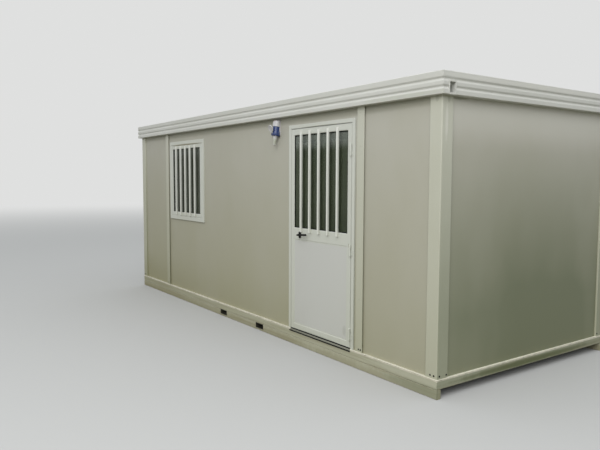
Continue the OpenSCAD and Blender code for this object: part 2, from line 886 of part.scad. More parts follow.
// The upper knuckle turns on the pin and is welded to a plate on the leaf
module leaf_hinges()
    color(white)
        for (z = hinge_zs)
            at_hinge(z + knuckle_gap / 2)
                difference() {
                    union() {
                        cylinder(r = barrel_r, h = knuckle_l);
                        translate([0, 0, knuckle_l]) hinge_cap();
                        block(-plate_w, -hinge_y - plate_t, 0, plate_w, plate_t, knuckle_l);
                    }
                    translate([0, 0, -eps]) cylinder(r = pin_r + pin_clear, h = knuckle_l - bore_short);
                }

// Puts children in the middle of the glazed upper part of the leaf, or of its lower part
module at_pane() on_side(0) translate([leaf_mid_x, 0, (mid_z1 + pane_z1) / 2]) children();
module at_infill() on_side(0) translate([leaf_mid_x, 0, infill_z0 + infill_h / 2]) children();

module leaf_frame()
    color(white)
        difference() {
            on_side(0)
                translate([leaf_mid_x, 0, leaf_z0 + leaf_h / 2])
                    plate(leaf_w, leaf_h, 0, leaf_t, edge);
            at_pane() {
                plate(pane_w, pane_h, -eps, leaf_t + eps, -bead);
                plate(pane_w + 2 * (glass_grip + joint_clear), pane_h + 2 * (glass_grip + joint_clear),
                    glass_recess, glass_recess + glass_t, 0);
            }
            at_infill() plate(pane_w, infill_h, -eps, leaf_t + eps, -bead);
            at_spindle() rod_y(spindle_r + spindle_clear, -eps, leaf_t + 2 * eps);
        }

module leaf_panel()
    color(white)
        at_infill()
            plate(pane_w, infill_h, infill_recess, leaf_t - infill_recess, 0);

module leaf_glass() color(dark_glass) at_pane() pane(pane_w, pane_h, 0);

module leaf_bars() color(white) at_pane() bars(door_bar_pitch, pane_h + 2 * door_bar_lap, 0);

module at_spindle() on_side(0) translate([spindle_x, 0, spindle_z]) children();

// A slot shape that stands on edge, from the face at Y = 0 outwards
module slot_plate(w, h, t) {
    block(-w / 2, -t, -(h - w) / 2, w, t, h - w);
    for (z = [-1, 1] * (h - w) / 2)
        translate([0, 0, z]) rod_y(w / 2, -t, t);
}

// A stepped plate with the key cylinder under the lever's neck
module lock_plate()
    difference() {
        union() {
            slot_plate(lock_w, lock_h, lock_t / 2);
            slot_plate(lock_w - lock_t, lock_h - lock_t, lock_t);
            translate([0, 0, -key_drop]) rod_y(key_r, -lock_t - key_proud, lock_t);
        }
        rod_y(grip_r + neck_clear, -2 * lock_t, 2 * lock_t + eps);
    }

module lock_plates()
    color(black)
        at_spindle() {
            lock_plate();
            translate([0, leaf_t, 0]) mirror([0, 1, 0]) lock_plate();
        }

// Neck, bend and grip, with the grip to +X and the leaf's face at Y = 0
grip_l = lever_l - bend_r;

module lever_handle()
    rotate([0, -lever_rise, 0]) {
        rod_y(grip_r, -lever_out + bend_r, lever_out - bend_r - neck_clear);
        translate([bend_r, -lever_out + bend_r, 0])
            rotate([0, 0, 180])
                rotate_extrude(angle = 90)
                    translate([bend_r, 0])
                        circle(r = grip_r);
        translate([bend_r, -lever_out, 0])
            rotate([0, 90, 0])
                rotate_extrude()
                    polygon(concat(
                        [[0, 0], [grip_r, 0]],
                        arc(tip_r / 2, grip_l - tip_r / 2, tip_r / 2, 0, 90),
                        [[0, grip_l]]
                    ));
    }

module lever_outer()
    color(black)
        at_spindle() {
            lever_handle();
            rod_y(spindle_r, -neck_clear - eps, leaf_t + 2 * neck_clear + eps);
        }

module lever_inner()
    color(black)
        at_spindle()
            translate([0, leaf_t, 0])
                mirror([0, 1, 0])
                    lever_handle();

// Power inlet: a hood on a stepped plate, and under it a collar that points down, with its
// lid open in front and the sleeve for the cable in its mouth

module at_inlet() on_side(0) translate([inlet_x + inlet_w / 2, recess, inlet_z]) children();

// Puts children on the collar's axis, with Z downwards along it from the mouth of the hood
// and Y towards the front
module on_collar()
    at_inlet()
        translate([0, -hood_out, inlet_h - hood_drop])
            rotate([180 - collar_lean, 0, 0])
                children();

// Everything from a distance y before the wall to one plate width behind it
module behind(y)
    at_inlet() block(-inlet_w, -y, -inlet_h, 2 * inlet_w, y + inlet_w, 3 * inlet_h);

module inlet_box(d, inset)
    bar_along_y(-d, d, rounded(-inlet_w / 2 + inset, inset, inlet_w / 2 - inset, inlet_h - inset, inlet_r));

hood_r = collar_r + hood_rim;

module inlet_housing()
    color(pale_grey) {
        at_inlet() {
            inlet_box(inlet_d - inlet_step, 0);
            inlet_box(inlet_d, inlet_step);
        }
        difference() {
            on_collar()
                rotate_extrude()
                    polygon(concat(
                        [[0, 0], [0, -hood_l]],
                        arc(hood_r - hood_round, hood_round - hood_l, hood_round, 270, 360),
                        [[hood_r, 0]]
                    ));
            behind(0);
        }
    }

collar_root = collar_r - collar_bead;
collar_neck = collar_l / 3;
collar_band = collar_l / 8;
hinge_drop = collar_l - lid_up;

// The collar widens from its neck, a groove runs round it before its mouth, and a block at
// the front carries the lid
module inlet_collar()
    color(blue)
        difference() {
            on_collar() {
                rotate_extrude()
                    polygon([
                        [0, 0], [collar_root, 0], [collar_root, collar_neck],
                        [collar_r, collar_neck + collar_bead], [collar_r, collar_l - 3 * collar_band],
                        [collar_root, collar_l - 3 * collar_band + collar_bead],
                        [collar_root, collar_l - collar_band - collar_bead],
                        [collar_r, collar_l - collar_band], [collar_r, collar_l], [0, collar_l]
                    ]);
                block(-lid_lug / 2, collar_r / 2, hinge_drop - lid_barrel,
                    lid_lug, collar_r / 2 + lid_seat, 2 * lid_barrel);
            }
            behind(inlet_d);
        }

lid_dish = lid_t / 3;

// A dished lid with a rounded rim, held open on the barrel of its hinge
module inlet_lid()
    color(pale_grey)
        on_collar()
            translate([0, collar_r + lid_seat + lid_barrel, hinge_drop])
                rotate([lid_lean - 90, 0, 0]) {
                    translate([0, lid_barrel + lid_r - lid_dish, -lid_barrel])
                        rotate_extrude()
                            polygon(concat(
                                [[0, 0], [lid_r, 0]],
                                arc(lid_r - lid_dish, lid_t - lid_dish, lid_dish, 0, 90),
                                [
                                    [lid_r - lid_t, lid_t], [lid_r - lid_t - lid_dish, lid_t - lid_dish],
                                    [0, lid_t - lid_dish]
                                ]
                            ));
                    block(-lid_lug / 2, 0, -lid_barrel, lid_lug, lid_barrel + lid_t, lid_barrel);
                    rotate([0, 90, 0]) cylinder(r = lid_barrel, h = lid_lug, center = true);
                }

// A nut, and a sleeve that narrows towards its end
module inlet_entry()
    color(pale_grey)
        on_collar()
            translate([0, 0, collar_l])
                rotate_extrude()
                    polygon(concat(
                        [
                            [0, 0], [gland_r, 0], [gland_r, gland_nut],
                            [gland_r - gland_step, gland_nut]
                        ],
                        arc(gland_tip - gland_round, gland_l - gland_round, gland_round, 0, 90),
                        [[0, gland_l]]
                    ));

front_skid();
rear_skid();
fork_pockets();
front_base_rail();
right_base_rail();
rear_base_rail();
left_base_rail();
floor_joists();
floor_board();
post_front_right();
post_rear_right();
post_rear_left();
post_front_left();
front_wall_left();
front_wall_window();
front_wall_middle();
front_wall_over_door();
front_wall_right();
right_wall();
rear_wall();
left_wall();
front_strips();
rear_strips();
front_fascia();
right_fascia();
rear_fascia();
left_fascia();
roof_beams();
roof_sheet();
ceiling_panel();
window_frame();
window_sash();
window_glass();
window_bars();
door_frame();
door_threshold();
frame_hinges();
leaf_frame();
leaf_panel();
leaf_glass();
leaf_bars();
leaf_hinges();
lock_plates();
lever_outer();
lever_inner();
inlet_housing();
inlet_collar();
inlet_lid();
inlet_entry();
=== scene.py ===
import json
import math

import bpy
from mathutils import Matrix, Vector


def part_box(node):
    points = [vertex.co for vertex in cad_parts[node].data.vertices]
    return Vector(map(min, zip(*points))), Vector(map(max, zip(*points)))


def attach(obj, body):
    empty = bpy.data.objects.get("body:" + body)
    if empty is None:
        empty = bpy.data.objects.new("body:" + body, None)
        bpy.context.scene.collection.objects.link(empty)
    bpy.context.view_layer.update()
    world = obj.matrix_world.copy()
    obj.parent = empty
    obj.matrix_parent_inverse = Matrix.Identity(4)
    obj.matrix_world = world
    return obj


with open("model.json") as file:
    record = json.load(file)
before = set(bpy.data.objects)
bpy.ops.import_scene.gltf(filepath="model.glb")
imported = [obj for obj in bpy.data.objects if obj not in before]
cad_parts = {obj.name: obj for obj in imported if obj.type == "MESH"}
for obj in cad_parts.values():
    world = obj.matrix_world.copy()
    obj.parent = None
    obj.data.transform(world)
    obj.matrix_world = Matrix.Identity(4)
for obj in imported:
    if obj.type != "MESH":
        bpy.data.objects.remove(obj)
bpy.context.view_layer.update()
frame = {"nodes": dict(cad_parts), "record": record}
print("stage: frame loaded,", len(frame["nodes"]), "nodes")

# Where things are, read from the frame
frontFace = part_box("front_strips")[0].y        # face of posts, rails, strips and door frame
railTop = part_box("front_base_rail")[1].z
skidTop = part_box("front_skid")[1].z
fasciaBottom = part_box("front_fascia")[0].z
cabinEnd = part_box("post_front_right")[1].x

# Camera, at the place and angle that the photo was taken from
view = {
    "place": (6.012, -4.560, 1.660),
    "heading": 54.8,      # degrees from +Y towards -X
    "pitch": -4.4,
    "roll": 0.17,
    "lens": 36.1,
    "sensor": 36,
}


def addCamera():
    data = bpy.data.cameras.new("photoCamera")
    data.lens = view["lens"]
    data.sensor_width = view["sensor"]
    camera = bpy.data.objects.new("photoCamera", data)
    bpy.context.scene.collection.objects.link(camera)
    turn = (Matrix.Rotation(math.radians(view["heading"]), 4, "Z")
            @ Matrix.Rotation(math.radians(90 + view["pitch"]), 4, "X")
            @ Matrix.Rotation(math.radians(view["roll"]), 4, "Z"))
    camera.matrix_world = Matrix.Translation(view["place"]) @ turn
    bpy.context.scene.camera = camera


addCamera()
bpy.context.scene.view_settings.view_transform = "Standard"

# Small helpers that place and join shader nodes


def addNode(tree, kind, **values):
    node = tree.nodes.new(kind)
    for key, value in values.items():
        setattr(node, key, value)
    return node


def feed(tree, socket, value):      # a socket takes a number, a colour or another node's output
    if isinstance(value, (int, float)):
        socket.default_value = value
    elif isinstance(value, tuple):
        socket.default_value = (*value, 1)
    else:
        tree.links.new(value, socket)


def mathNode(tree, operation, first, second=None, clamp=False):
    node = addNode(tree, "ShaderNodeMath", operation=operation, use_clamp=clamp)
    feed(tree, node.inputs[0], first)
    if second is not None:
        feed(tree, node.inputs[1], second)
    return node.outputs[0]


def timesNode(tree, first, second, clamp=False):
    return mathNode(tree, "MULTIPLY", first, second, clamp)


def rangeNode(tree, value, low, high, toLow=0.0, toHigh=1.0, shape="SMOOTHSTEP"):
    node = addNode(tree, "ShaderNodeMapRange", clamp=True, interpolation_type=shape)
    labels = ("Value", "From Min", "From Max", "To Min", "To Max")
    for label, amount in zip(labels, (value, low, high, toLow, toHigh)):
        feed(tree, node.inputs[label], amount)
    return node.outputs["Result"]


def slopeNode(tree, value, low, high, toLow=0.0, toHigh=1.0):
    return rangeNode(tree, value, low, high, toLow, toHigh, "LINEAR")


def fallNode(tree, value, low, high):      # 1 before low, 0 after high
    return rangeNode(tree, value, low, high, 1.0, 0.0)


def mixShaders(tree, share, first, second):
    mix = addNode(tree, "ShaderNodeMixShader")
    for socket, source in zip(mix.inputs, (share, first, second)):
        tree.links.new(source, socket)
    return mix.outputs[0]


def colouredShader(tree, kind, colour):
    node = addNode(tree, kind)
    node.inputs["Color"].default_value = (*colour, 1)
    return node


# Studio: an even pale sky, one wide soft lamp and a pale floor with an earthy bounce
studio = {
    "skyHigh": 1.02,
    "skyLow": 0.60,
    "skyColour": (0.95, 0.98, 1.0),
    "backdrop": (0.74, 0.745, 0.74),
    "lampPower": 900,
    "lampSize": 9,
    "lampPlace": (7.8, -8.6, 8.0),
    "lampAim": (1, 0, 1),
    "floorSeen": (0.50, 0.50, 0.49),
    "floorBounce": (0.17, 0.165, 0.115),
    "floorSize": 120,
    "fadeFrom": 9,      # metres from the middle, where the floor starts to fade into the backdrop
    "fadeTo": 34,
}


def whiteRay(tree):      # 1 for rays from the camera, from reflections and through panes
    path = addNode(tree, "ShaderNodeLightPath")
    either = mathNode(tree, "MAXIMUM", path.outputs["Is Camera Ray"], path.outputs["Is Glossy Ray"])
    return mathNode(tree, "MAXIMUM", either, path.outputs["Is Transmission Ray"])


def addSky():
    world = bpy.data.worlds.new("studioSky")
    bpy.context.scene.world = world
    world.use_nodes = True
    tree = world.node_tree
    tree.nodes.clear()
    where = addNode(tree, "ShaderNodeTexCoord")
    split = addNode(tree, "ShaderNodeSeparateXYZ")
    tree.links.new(where.outputs["Generated"], split.inputs[0])
    light = colouredShader(tree, "ShaderNodeBackground", studio["skyColour"])
    strength = slopeNode(tree, split.outputs["Z"], 0, 1, studio["skyLow"], studio["skyHigh"])
    tree.links.new(strength, light.inputs["Strength"])
    seen = colouredShader(tree, "ShaderNodeBackground", studio["backdrop"])
    out = addNode(tree, "ShaderNodeOutputWorld")
    sky = mixShaders(tree, whiteRay(tree), light.outputs[0], seen.outputs[0])
    tree.links.new(sky, out.inputs["Surface"])


def addLamp():
    data = bpy.data.lights.new("softLamp", "AREA")
    data.energy = studio["lampPower"]
    data.size = studio["lampSize"]
    lamp = bpy.data.objects.new("softLamp", data)
    bpy.context.scene.collection.objects.link(lamp)
    place = Vector(studio["lampPlace"])
    lamp.location = place
    lamp.rotation_euler = (Vector(studio["lampAim"]) - place).to_track_quat("-Z", "Y").to_euler()


def addFloor():
    bpy.ops.object.select_all(action="DESELECT")
    bpy.ops.mesh.primitive_plane_add(size=studio["floorSize"])
    floor = bpy.context.object
    floor.name = "studioFloor"
    material = bpy.data.materials.new("studioFloor")
    material.use_nodes = True
    tree = material.node_tree
    tree.nodes.clear()
    seen = colouredShader(tree, "ShaderNodeBsdfDiffuse", studio["floorSeen"])
    bounce = colouredShader(tree, "ShaderNodeBsdfDiffuse", studio["floorBounce"])
    far = colouredShader(tree, "ShaderNodeEmission", studio["backdrop"])
    where = addNode(tree, "ShaderNodeTexCoord")
    away = addNode(tree, "ShaderNodeVectorMath", operation="LENGTH")
    tree.links.new(where.outputs["Object"], away.inputs[0])
    fade = rangeNode(tree, away.outputs["Value"], studio["fadeFrom"], studio["fadeTo"])
    isSeen = whiteRay(tree)
    near = mixShaders(tree, isSeen, bounce.outputs[0], seen.outputs[0])
    whole = mixShaders(tree, timesNode(tree, fade, isSeen), near, far.outputs[0])
    out = addNode(tree, "ShaderNodeOutputMaterial")
    tree.links.new(whole, out.inputs["Surface"])
    floor.data.materials.append(material)


addSky()
addLamp()
addFloor()
print("stage: studio ready")

# Finishes. Every pattern reads Object coordinates, which are metres in the cabin's own frame.

# Noise patterns: how fine, how rich and how far drawn out each one is
patterns = {
    "streakFine": {"scale": 9.0, "detail": 4.0, "roughness": 0.6, "stretch": (3.2, 3.2, 0.10)},
    "streakWide": {"scale": 1.6, "detail": 2.0, "roughness": 0.5, "stretch": (1.2, 1.2, 0.25),
                   "shift": (3, 1, 0)},
    "splashSpecks": {"scale": 26.0, "detail": 5.0, "roughness": 0.7, "stretch": (1, 1, 0.7)},
    "splashClouds": {"scale": 2.2, "detail": 3.0, "roughness": 0.55, "stretch": (1, 1, 0.5),
                     "shift": (0, 5, 2)},
    "filmClouds": {"scale": 1.1, "detail": 3.0, "roughness": 0.5, "stretch": (1, 1, 0.6),
                   "shift": (2, 2, 2)},
    "toneSlow": {"scale": 0.8, "detail": 2.0, "roughness": 0.5, "stretch": (1, 1, 0.6)},
    "toneMiddle": {"scale": 6.0, "detail": 3.0, "roughness": 0.5, "stretch": (1, 1, 0.6),
                   "shift": (1, 0, 4)},
    "toneSpecks": {"scale": 140.0, "detail": 2.0, "roughness": 0.5},
    "sheetWaves": {"scale": 1.1, "detail": 2.0, "roughness": 0.4, "stretch": (1, 1, 0.45),
                   "shift": (7, 0, 0)},
    "paintPeel": {"scale": 420.0, "detail": 2.0, "roughness": 0.5},
    "seamBreaks": {"scale": 12.0, "detail": 3.0, "roughness": 0.6},
    "wetBands": {"scale": 2.2, "detail": 4.0, "roughness": 0.6, "stretch": (0.35, 0.35, 14),
                 "shift": (0, 0, 1)},
    "rolledMetal": {"scale": 60.0, "detail": 4.0, "roughness": 0.6, "stretch": (1, 8, 8)},
    "mouldedPlastic": {"scale": 900.0, "detail": 2.0, "roughness": 0.55},
    "boardGrain": {"scale": 6.0, "detail": 5.0, "roughness": 0.6, "stretch": (0.35, 6, 1)},
    "glassDust": {"scale": 3.0, "detail": 5.0, "roughness": 0.65, "stretch": (1, 1, 0.5)},
}


def noiseNode(tree, name):
    pattern = patterns[name]
    where = addNode(tree, "ShaderNodeTexCoord")
    mapping = addNode(tree, "ShaderNodeMapping")
    mapping.inputs["Scale"].default_value = pattern.get("stretch", (1, 1, 1))
    mapping.inputs["Location"].default_value = pattern.get("shift", (0, 0, 0))
    noise = addNode(tree, "ShaderNodeTexNoise")
    for label in ("Scale", "Detail", "Roughness"):
        noise.inputs[label].default_value = pattern[label.lower()]
    tree.links.new(where.outputs["Object"], mapping.inputs["Vector"])
    tree.links.new(mapping.outputs["Vector"], noise.inputs["Vector"])
    return noise.outputs["Fac"]


def placeOf(tree):
    where = addNode(tree, "ShaderNodeTexCoord")
    split = addNode(tree, "ShaderNodeSeparateXYZ")
    tree.links.new(where.outputs["Object"], split.inputs[0])
    return split.outputs


def blendNoise(tree, first, firstShare, second, secondShare):
    return mathNode(tree, "ADD", timesNode(tree, noiseNode(tree, first), firstShare),
                    timesNode(tree, noiseNode(tree, second), secondShare))


def newGroup(name, inputs, outputs=("Mask",)):
    group = bpy.data.node_groups.new(name, "ShaderNodeTree")
    for label, value in inputs.items():
        kind = "NodeSocketVector" if isinstance(value, tuple) else "NodeSocketFloat"
        group.interface.new_socket(label, in_out="INPUT", socket_type=kind).default_value = value
    for label in outputs:
        group.interface.new_socket(label, in_out="OUTPUT", socket_type="NodeSocketFloat")
    return group, addNode(group, "NodeGroupInput"), addNode(group, "NodeGroupOutput")


streakShape = {"fine": 0.7, "wide": 0.5, "start": 0.92, "perCover": 0.5, "soft": 0.22}


def streakGroup():     # rain streaks that hang down from a height
    group, entry, leave = newGroup("rainStreaks", {"Top": 2.27, "Reach": 0.8, "Cover": 0.5})
    both = blendNoise(group, "streakFine", streakShape["fine"], "streakWide", streakShape["wide"])
    covered = timesNode(group, entry.outputs["Cover"], streakShape["perCover"])
    start = mathNode(group, "SUBTRACT", streakShape["start"], covered)
    lines = rangeNode(group, both, start, mathNode(group, "ADD", start, streakShape["soft"]))
    down = mathNode(group, "SUBTRACT", entry.outputs["Top"], placeOf(group)["Z"])
    fall = fallNode(group, mathNode(group, "DIVIDE", down, entry.outputs["Reach"]), 0.0, 1.0)
    group.links.new(timesNode(group, lines, fall, True), leave.inputs["Mask"])
    return group


splashShape = {"specks": 0.75, "clouds": 0.65, "lift": 0.6, "edge": (0.86, 1.30)}


def splashGroup():     # soil splashed up from the ground
    group, entry, leave = newGroup("soilSplash", {"Reach": 0.5})
    low = fallNode(group, mathNode(group, "DIVIDE", placeOf(group)["Z"], entry.outputs["Reach"]), 0.0, 1.0)
    broken = blendNoise(group, "splashSpecks", splashShape["specks"], "splashClouds", splashShape["clouds"])
    raised = mathNode(group, "ADD", broken, timesNode(group, low, splashShape["lift"]))
    mask = timesNode(group, rangeNode(group, raised, *splashShape["edge"]), low, True)
    group.links.new(mask, leave.inputs["Mask"])
    return group


filmShape = {"clouds": (0.3, 0.7), "uneven": (0.8, 1.15)}


def filmGroup():       # a film of dust and algae that thickens evenly towards the ground
    group, entry, leave = newGroup("lowFilm", {"Start": 2.0, "Full": 0.2})
    share = slopeNode(group, placeOf(group)["Z"], entry.outputs["Start"], entry.outputs["Full"])
    uneven = rangeNode(group, noiseNode(group, "filmClouds"), *filmShape["clouds"], *filmShape["uneven"])
    group.links.new(timesNode(group, share, uneven, True), leave.inputs["Mask"])
    return group


mottleShape = {"slow": 0.75, "middle": 0.25, "tone": (0.35, 0.65), "specks": (0.64, 0.76)}


def mottleGroup():     # slow change of tone over a painted sheet, with fine specks
    group, entry, leave = newGroup("paintMottle", {"Specks": 0.5}, ("Tone", "Specks"))
    tone = blendNoise(group, "toneSlow", mottleShape["slow"], "toneMiddle", mottleShape["middle"])
    group.links.new(rangeNode(group, tone, *mottleShape["tone"]), leave.inputs["Tone"])
    specks = rangeNode(group, noiseNode(group, "toneSpecks"), *mottleShape["specks"])
    group.links.new(timesNode(group, specks, entry.outputs["Specks"]), leave.inputs["Specks"])
    return group


peelHeight = 0.003      # against 1 for the sheet's own waves


def rippleGroup():     # the slight waves of a thin flat sheet, and the peel of its paint
    group, entry, leave = newGroup("sheetRipple", {"Waves": 1.0}, ("Height",))
    waves = timesNode(group, noiseNode(group, "sheetWaves"), entry.outputs["Waves"])
    peel = timesNode(group, noiseNode(group, "paintPeel"), peelHeight)
    group.links.new(mathNode(group, "ADD", waves, peel), leave.inputs["Height"])
    return group


patchShape = {"core": 0.15, "detail": 5.0, "roughness": 0.7, "edge": (0.8, 1.35)}


def patchGroup():      # a soft broken patch round one place
    group, entry, leave = newGroup("dirtPatch", {"Centre": (0, 0, 0), "Size": (1, 1, 1), "Grain": 22.0})
    where = addNode(group, "ShaderNodeTexCoord")
    away = addNode(group, "ShaderNodeVectorMath", operation="SUBTRACT")
    scaled = addNode(group, "ShaderNodeVectorMath", operation="DIVIDE")
    length = addNode(group, "ShaderNodeVectorMath", operation="LENGTH")
    group.links.new(where.outputs["Object"], away.inputs[0])
    group.links.new(entry.outputs["Centre"], away.inputs[1])
    group.links.new(away.outputs[0], scaled.inputs[0])
    group.links.new(entry.outputs["Size"], scaled.inputs[1])
    group.links.new(scaled.outputs[0], length.inputs[0])
    near = fallNode(group, length.outputs["Value"], patchShape["core"], 1.0)
    broken = addNode(group, "ShaderNodeTexNoise")
    broken.inputs["Detail"].default_value = patchShape["detail"]
    broken.inputs["Roughness"].default_value = patchShape["roughness"]
    group.links.new(where.outputs["Object"], broken.inputs["Vector"])
    group.links.new(entry.outputs["Grain"], broken.inputs["Scale"])
    mask = rangeNode(group, mathNode(group, "ADD", near, broken.outputs["Fac"]), *patchShape["edge"])
    group.links.new(timesNode(group, mask, near, True), leave.inputs["Mask"])
    return group


seamShape = {"solid": 0.4, "breaks": (0.3, 0.6), "share": (0.5, 1.0)}


def seamGroup():       # a level line at one height, broken up a little
    group, entry, leave = newGroup("levelSeam", {"Height": 0.0, "Half": 0.003})
    above = mathNode(group, "SUBTRACT", placeOf(group)["Z"], entry.outputs["Height"])
    away = mathNode(group, "DIVIDE", mathNode(group, "ABSOLUTE", above), entry.outputs["Half"])
    line = fallNode(group, away, seamShape["solid"], 1.0)
    uneven = rangeNode(group, noiseNode(group, "seamBreaks"), *seamShape["breaks"], *seamShape["share"])
    group.links.new(timesNode(group, line, uneven, True), leave.inputs["Mask"])
    return group


groups = {
    "streaks": streakGroup(), "splash": splashGroup(), "film": filmGroup(), "mottle": mottleGroup(),
    "ripple": rippleGroup(), "patch": patchGroup(), "seam": seamGroup(),
}


def groupNode(tree, name, **values):
    node = addNode(tree, "ShaderNodeGroup", node_tree=groups[name])
    for label, value in values.items():
        node.inputs[label].default_value = value
    return node


def mixColour(tree, share, base, other):
    node = addNode(tree, "ShaderNodeMix", data_type="RGBA")
    for label, value in (("Factor", share), ("A", base), ("B", other)):
        feed(tree, [s for s in node.inputs if s.name == label and s.enabled][0], value)
    return [s for s in node.outputs if s.enabled][0]


def stain(tree, colour, tint, strength, *shares):      # a tint over a colour, as strong as all its shares
    for share in shares:
        strength = timesNode(tree, strength, share)
    return mixColour(tree, strength, colour, tint)


def newMaterial(name, roughness, metallic=0.0):
    material = bpy.data.materials.new(name)
    material.use_nodes = True
    tree = material.node_tree
    shader = tree.nodes["Principled BSDF"]
    shader.inputs["Roughness"].default_value = roughness
    shader.inputs["Metallic"].default_value = metallic
    return material, tree, shader


def addBump(tree, shader, height, bump):
    node = addNode(tree, "ShaderNodeBump")
    node.inputs["Strength"].default_value = bump["strength"]
    node.inputs["Distance"].default_value = bump["distance"]
    tree.links.new(height, node.inputs["Height"])
    tree.links.new(node.outputs["Normal"], shader.inputs["Normal"])


facingEdge = (0.5, 0.9)      # a normal's part along the axis, from where it counts to where it counts in full


def facing(tree, axis):     # 1 on what faces one way: X is the end by the door, which gets algae, painted shade and a painted highlight, and Z is a ledge
    where = addNode(tree, "ShaderNodeTexCoord")
    split = addNode(tree, "ShaderNodeSeparateXYZ")
    tree.links.new(where.outputs["Normal"], split.inputs[0])
    return rangeNode(tree, split.outputs[axis], *facingEdge)


# Colours of dirt, some also used as painted shade and painted highlight
# soil, also used as painted shade in the skid's joint and under the window's head
soilAndShade = (0.219, 0.187, 0.096)
farSoil = (0.262, 0.247, 0.132)
# grime, also used as painted shade under the fascia and under the door's head
grimeAndShade = (0.175, 0.180, 0.108)
# algae, also used as painted shade on the end by the door
algaeAndShade = (0.158, 0.183, 0.112)
# washed paint, also used as painted highlight on the fascia's top roll, in the drain opening and along the
# top of the door's end
washedAndHighlight = (0.730, 0.720, 0.664)
stained = (0.394, 0.410, 0.317)
# painted highlight along the rail's top
ledgeHighlight = (0.818, 0.770, 0.649)
rosy = (0.307, 0.216, 0.239)
wetMud = (0.024, 0.022, 0.009)
mudGreen = (0.082, 0.095, 0.028)
deepShade = (0.055, 0.065, 0.019)

# How weather, painted shade and painted highlight spread over the cabin. A row of four is from, to, and the
# shares there.
weather = {
    "specks": 0.25, "speckShare": 0.3,
    "filmStart": 2.05, "filmFull": 0.10, "endTintFull": 0.60,
    "along": (1.2, -2.8, 0.1, 1.0), "down": (2.1, 0.3, 0.08, 0.36), "foot": (0.62, 0.18, 0.0, 0.5),
    "rearward": (-1.15, -0.2, 0.10, 0.32), "litTop": (1.85, 2.25, 0.0, 0.45),
    "streakReach": 0.85, "streakCover": 0.45,
    "bandsDrawn": (0.45, 0.62), "bandsBelow": (0.012, 0.004),
    "dirtRough": 0.85,
}

# Painted highlight on the bars, lighter than the frame to stand in for light on their sides; they stand this
# far ahead of the front face and short of the hinges
barPlace = {"ahead": (0.0020, 0.0005), "short": (1.92, 1.94)}
sheetBump = {"strength": 0.25, "distance": 0.01}

# Painted sheet steel: each paint's own colour, a little lighter than in the dull light of the photo
paints = {
    "frame_paint": {
        "colour": (0.544, 0.545, 0.467), "shade": (0.508, 0.508, 0.422), "rough": 0.48, "waves": 0.2,
        "film": (0.386, 0.378, 0.240), "filmShare": 0.60, "endTint": 0.62, "older": 0.62,
        "streaks": 0.10, "splash": 0.42, "splashReach": 0.16, "bands": 0.35,
        "seams": [     # soil and painted shade in the joint of skid and rail, and a painted highlight along the rail's top
            {"height": 0.0755, "half": 0.0045, "share": 0.55, "colour": soilAndShade},
            {"height": 0.1460, "half": 0.0120, "share": 0.85, "colour": ledgeHighlight},
        ],
    },
    "fascia_paint": {
        "colour": (0.599, 0.600, 0.564), "shade": (0.569, 0.570, 0.528), "rough": 0.42, "waves": 0.4,
        "streaks": 0.10,
    },
    "wall_paint": {
        "colour": (0.459, 0.448, 0.390), "shade": (0.436, 0.424, 0.358), "rough": 0.56, "waves": 0.8,
        "film": (0.338, 0.322, 0.190), "filmShare": 0.70, "endTint": 0.78, "paintedEndLight": True, "older": 0.75,
        "streaks": 0.12, "splash": 0.10, "splashReach": 0.5,
    },
    "white_paint": {
        "colour": (0.599, 0.612, 0.564), "shade": (0.569, 0.579, 0.518), "rough": 0.40, "waves": 0.1,
        "film": (0.482, 0.482, 0.332), "filmShare": 0.28, "endTint": 0.3,
        "streaks": 0.08, "splash": 0.15, "splashReach": 0.4, "barHighlight": (0.759, 0.763, 0.718),
    },
    "leaf_paint": {
        "colour": (0.581, 0.582, 0.562), "shade": (0.552, 0.550, 0.531), "rough": 0.36, "waves": 0.4,
        "film": (0.482, 0.482, 0.371), "filmShare": 0.25, "endTint": 0.3,
        "streaks": 0.05, "splash": 0.22, "splashReach": 0.45,
    },
    "ceiling_paint": {
        "colour": (0.803, 0.792, 0.772), "shade": (0.730, 0.720, 0.695), "rough": 0.5, "waves": 0.3,
    },
}


def mark(colour, share, grain, at, size):
    return {"colour": colour, "share": share, "grain": grain, "at": at, "size": size}
